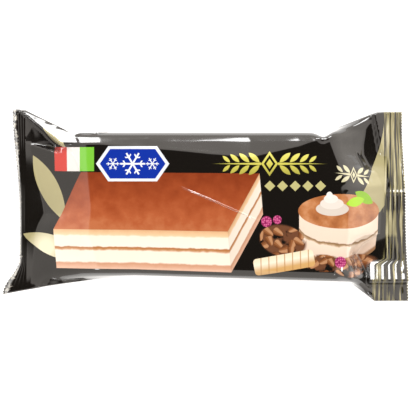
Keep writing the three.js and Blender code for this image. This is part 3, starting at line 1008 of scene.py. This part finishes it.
cells = add("TexVoronoi", {"Vector": PRINT, "Scale": 1 / ALMOND_SPACING, "Randomness": 0.75},
            voronoi_dimensions="2D")
_, cell_colour, cell_at = cells.node.outputs[:3]
turn = add("Math", [add("SeparateColor", [cell_colour]), math.pi], operation="MULTIPLY")
own = add("VectorMath", [PRINT, cell_at], operation="SUBTRACT")
own = add("VectorMath", [own, (1, 1, 0)], operation="MULTIPLY")
own = add("VectorRotate", {"Vector": own, "Angle": turn}, rotation_type="Z_AXIS")
along, aside, _ = add("SeparateXYZ", [own]).node.outputs
narrowing = add("Math", [along, ALMOND_TIP, 2 / ALMOND_WIDTH], operation="MULTIPLY_ADD")
aside = add("Math", [aside, narrowing], operation="MULTIPLY")
along = add("Math", [along, 2 / ALMOND_LENGTH], operation="MULTIPLY")
reach = add("VectorMath", [add("CombineXYZ", [along, aside])], output="Value", operation="LENGTH")
almonds = least(add("Math", [1.0, reach], operation="SUBTRACT"), heap)
# Fine lines run along an almond's skin, and its two long sides are darker than its middle.
grain = add("Math", [add("Math", [aside, 15.0], operation="MULTIPLY")], operation="SINE")
grain = add("Math", [grain, 0.12, aside], operation="MULTIPLY_ADD")
grain = add("Math", [grain, 0.5, 0.5], operation="MULTIPLY_ADD")
skin = shades(grain, (0, "#5a3018"), (0.4, "#925c38"), (0.72, "#c99870"), (1, "#925c38"))
colour = lay(colour, almonds, skin, edge=0.04)
tell("almonds")

# %% Wafer roll
WAFER = dict(centre=(33.5, -24.2), half=(13, 3.6), radius=1.6, angle=11)
WAFER_AXIS = dict(corner=(21, -25), along=(24, 4.8), down=(1.6, -7))
TURN_STEP = 0.07  # half of the way from turn to turn, as a share of the roll's length
TURN_SLANT = 0.06
TURN_LINE = 0.1  # how thick the dark line between two turns is, and how fast it ends
TURN_SHARPNESS = 14.0
_, along, down = face_of(**WAFER_AXIS)
down = add("Math", [down, 0.5], operation="ADD")
baked = shades(down, (0, "#d8b27c"), (0.25, "#f0e2c4"), (0.6, "#f6edd8"), (1, "#d4a96c"))
colour = lay(colour, rounded_bar(**WAFER), baked)
turns = add("Math", [down, TURN_SLANT, along], operation="MULTIPLY_ADD")
turns = add("Math", [turns, TURN_STEP], operation="PINGPONG")
turns = add("Math", [turns, TURN_SHARPNESS], operation="MULTIPLY")
turns = add("Math", [TURN_LINE, turns], operation="SUBTRACT")
colour = lay(colour, least(rounded_bar(**WAFER), turns), "#b98752", edge=0.08)
tell("wafer roll")

# %% Berries
BERRIES = [((26, -7), 2.3), ((30.6, -6.2), 1.8), ((57.5, -23.5), 2.4)]
BEAD = 0.9524  # one of the beads that a berry is made of
beads = add("TexVoronoi", {"Vector": PRINT, "Scale": 1 / BEAD, "Randomness": 0.6},
            voronoi_dimensions="2D")
juicy = shades(beads, (0, "#e88ab4"), (0.35, "#b8407a"), (0.7, "#7a1c4c"))
for centre, radius in BERRIES:
    colour = lay(colour, disc(centre, radius), juicy, edge=0.15)
tell("berries")

# %% [markdown]
# ### The back
# The back of such a pack is plainer. It has one pale panel in a thin frame, left bare here, and
# two small marks that tell the wrapping machine where to cut the film.

# %% The back
PANEL = dict(centre=(0, 63), half=(44, 11), radius=2)
FRAME_GAP = 1.3
FRAME_LINE = 0.6
CUT_MARK = dict(half=(3, 1.6), radius=0.1)
CUT_MARKS_AT = ((-52, -64), (52, -64))


def grown_panel(by):
    half = [size + by for size in PANEL["half"]]
    return rounded_bar(PANEL["centre"], half, PANEL["radius"] + by / 2)


line = least(grown_panel(FRAME_GAP + FRAME_LINE), outside(grown_panel(FRAME_GAP)))
colour = lay(colour, line, GOLD)
colour = lay(colour, grown_panel(0), "#c9c3a2")
for centre in CUT_MARKS_AT:
    colour = lay(colour, rounded_bar(centre, **CUT_MARK), PALE_GOLD)
tell("back")

# %% [markdown]
# ### Fine wrinkles
# A wrinkle that is thinner than the mesh is drawn as a bump: a tent of height over a line. The
# film bends light at it as at a real crease, and the mesh stays small. The fin on the back is
# crimped too, with ribs across it, and these are a bump for the same reason.

# %% Fine wrinkles
WRINKLE_FADE = 0.25  # the share of its length over which a wrinkle fades out at each end


def wrinkle(start, end, height, width):
    """A tent of height over a line."""
    dx, dy = end[0] - start[0], end[1] - start[1]
    square = dx * dx + dy * dy
    away = add("Math", [left_of(start, end)], operation="ABSOLUTE")
    tent = add("MapRange", [away, 0.0, width, height, 0.0], interpolation_type="SMOOTHSTEP")
    along = plane_value((dx / square, dy / square, -(dx * start[0] + dy * start[1]) / square))
    within = least(along, add("Math", [1.0, along], operation="SUBTRACT"))
    fade = add("MapRange", [within, 0.0, WRINKLE_FADE, 0.0, 1.0])
    return add("Math", [tent, fade], operation="MULTIPLY")


WRINKLES = [
    # from, to, height and half width
    ((-12, 8.5), (25, -7.6), 0.22, 0.5),
    ((-58, 26), (-52, 12), 0.15, 0.8),
    ((60, -21), (66, -27), 0.35, 1.2),
    ((64, -19), (69, -26), 0.3, 1.0),
    ((66, 24), (73, 8), 0.25, 1.2),
]
relief = 0.0
for line in WRINKLES:
    relief = add("Math", [relief, wrinkle(*line)], operation="ADD")
tell("wrinkles")

# %% The fin's ribs
FIN_RIB = 0.45  # half of the way from rib to rib
FIN_MARGIN = 1  # plain film along both edges of the fin, and how softly the ribs end there
FIN_SOFT = 0.2
on_fin = least(plane_value((0, 1, FLAT_WIDTH)), plane_value((0, -1, FIN_WIDTH - FLAT_WIDTH)))
on_fin = add("MapRange", [on_fin, FIN_MARGIN - FIN_SOFT, FIN_MARGIN + FIN_SOFT])
fin_rib = add("Math", [plane_value((1, 0, 0)), FIN_RIB], operation="PINGPONG")
fin_rib = add("Math", [fin_rib, on_fin], operation="MULTIPLY")
relief = add("Math", [relief, fin_rib], operation="ADD")
bump = add("Bump", {"Height": relief, "Distance": MM})
tell("ribs")

# %% [markdown]
# ## The film's finish
# The wrap is biaxially stretched polypropylene, two layers of it with the inks between them.
# Stretching leaves it as smooth as glass, so it shows sharp reflections of whatever is round it.
# The coat is the clear outer layer, and the base is the ink with its own slightly duller shine,
# so the film reflects twice. Its IOR is a little over the 1.5 of plain polypropylene, because
# the ink behind it reflects too.

# %% The gloss film
shader = film_nodes.nodes["Principled BSDF"]
film_nodes.links.new(colour, shader.inputs["Base Color"])
shader.inputs["Roughness"].default_value = 0.12
shader.inputs["IOR"].default_value = 1.58
shader.inputs["Coat Weight"].default_value = 1.0
shader.inputs["Coat Roughness"].default_value = 0.05
shader.inputs["Coat IOR"].default_value = 1.58
for socket in ("Normal", "Coat Normal"):
    film_nodes.links.new(bump, shader.inputs[socket])
wrap.data.materials.append(film_material)
print("film material has", len(film_nodes.nodes), "nodes")

# %% [markdown]
# ## Light
# Glossy film shows its surroundings more than itself, so they decide how the pack looks. It
# lies in a white tent with a hole for the camera in its top. What faces straight up mirrors the
# hole and stays black, and what slopes mirrors the tent and turns grey. The tent is brighter on
# its far side and its right, because more lamps stand there.

# %% The light tent
world = bpy.data.worlds.new("light_tent")
bpy.context.scene.world = world
world.use_nodes = True
sky = world.node_tree
direction = add("TexCoord", [], output="Generated", tree=sky)
to_right, to_far, up = add("SeparateXYZ", [direction], tree=sky).node.outputs
TENT = 1.0
THROUGH_HOLE = 0.03
HOLE_EDGE = (18, 15)  # where the tent ends and the hole is dark, in degrees from straight up
SIDEWAYS = (0.65, 1.32)  # how bright the left and the right side are
FAR_WALL = 1.4
tent_ends, hole_begins = [math.cos(math.radians(angle)) for angle in HOLE_EDGE]
strength = add("MapRange", [up, tent_ends, hole_begins, TENT, THROUGH_HOLE], tree=sky)
sideways = add("MapRange", [to_right, -1.0, 1.0, *SIDEWAYS], tree=sky)
far_wall = add("MapRange", [to_far, 0.0, 1.0, 1.0, FAR_WALL], tree=sky)
strength = add("Math", [strength, sideways], operation="MULTIPLY", tree=sky)
strength = add("Math", [strength, far_wall], operation="MULTIPLY", tree=sky)
background = sky.nodes["Background"]
background.inputs["Color"].default_value = linear("#fff7ee")
sky.links.new(strength, background.inputs["Strength"])
print("tent: left", SIDEWAYS[0], "right", SIDEWAYS[1], "far", FAR_WALL, "hole", THROUGH_HOLE)

# %% [markdown]
# ### Lamps
# Four lamps make the white highlights. Each stands where a fold of the film mirrors it towards
# the camera: the two far ones on the far edge and its ears, the near one on the near seal, and
# the low strip on the cut edge at the left. Softboxes are used because film mirrors the lamp
# itself, and a small bulb would leave only dots.

# %% The lamps
def softbox(name, place, width, height, radiance):
    """A rectangular light in millimetres that faces the pack."""
    data = bpy.data.lights.new(name, "AREA")
    data.shape = "RECTANGLE"
    data.size = width * MM
    data.size_y = height * MM
    data.energy = radiance * math.pi * data.size * data.size_y
    lamp = bpy.data.objects.new(name, data)
    bpy.context.scene.collection.objects.link(lamp)
    lamp.location = Vector(place) * MM
    lamp.rotation_euler = lamp.location.to_track_quat("Z", "Y").to_euler()
    lamp.visible_camera = False
    print(name, "is", round((lamp.location - wrap.location).length, 2), "m away")


softbox("far_light", (-122, 283, 189), 135, 80, 11)
softbox("far_right_light", (85, 350, 300), 120, 230, 11)
softbox("near_light", (-330, -780, 850), 150, 150, 10)
softbox("left_strip", (-1400, 0, 150), 900, 250, 7)

# %% [markdown]
# ## The floor
# The pack lies on plain white paper, which a photographer lights until it has no shade of its own.
# Here it glows a little instead, so that it stays white to the edge of the picture.

# %% The floor
FLOOR_REACH = 2.5  # in metres, each way from the pack
signs = ((-1, -1), (1, -1), (1, 1), (-1, 1))
corners = [(x * FLOOR_REACH, y * FLOOR_REACH, 0) for x, y in signs]
floor_mesh = bpy.data.meshes.new("floor")
floor_mesh.from_pydata(corners, [], [(0, 1, 2, 3)])
floor = bpy.data.objects.new("floor", floor_mesh)
bpy.context.scene.collection.objects.link(floor)
paper = bpy.data.materials.new("white_paper")
paper.use_nodes = True
paper_shader = paper.node_tree.nodes["Principled BSDF"]
paper_shader.inputs["Base Color"].default_value = linear("#f3f3f3")
paper_shader.inputs["Roughness"].default_value = 0.8
paper_shader.inputs["Emission Color"].default_value = linear("#ffffff")
paper_shader.inputs["Emission Strength"].default_value = 0.7
floor_mesh.materials.append(paper)
print("floor:", 2 * FLOOR_REACH, "m square")

# %% [markdown]
# ## Colours as they are
# Blender's usual view softens bright colours, which makes a white ground grey. The standard view
# shows each ink as its hex value.

# %% Plain colours
bpy.context.scene.view_settings.view_transform = "Standard"
print("view:", bpy.context.scene.view_settings.view_transform)
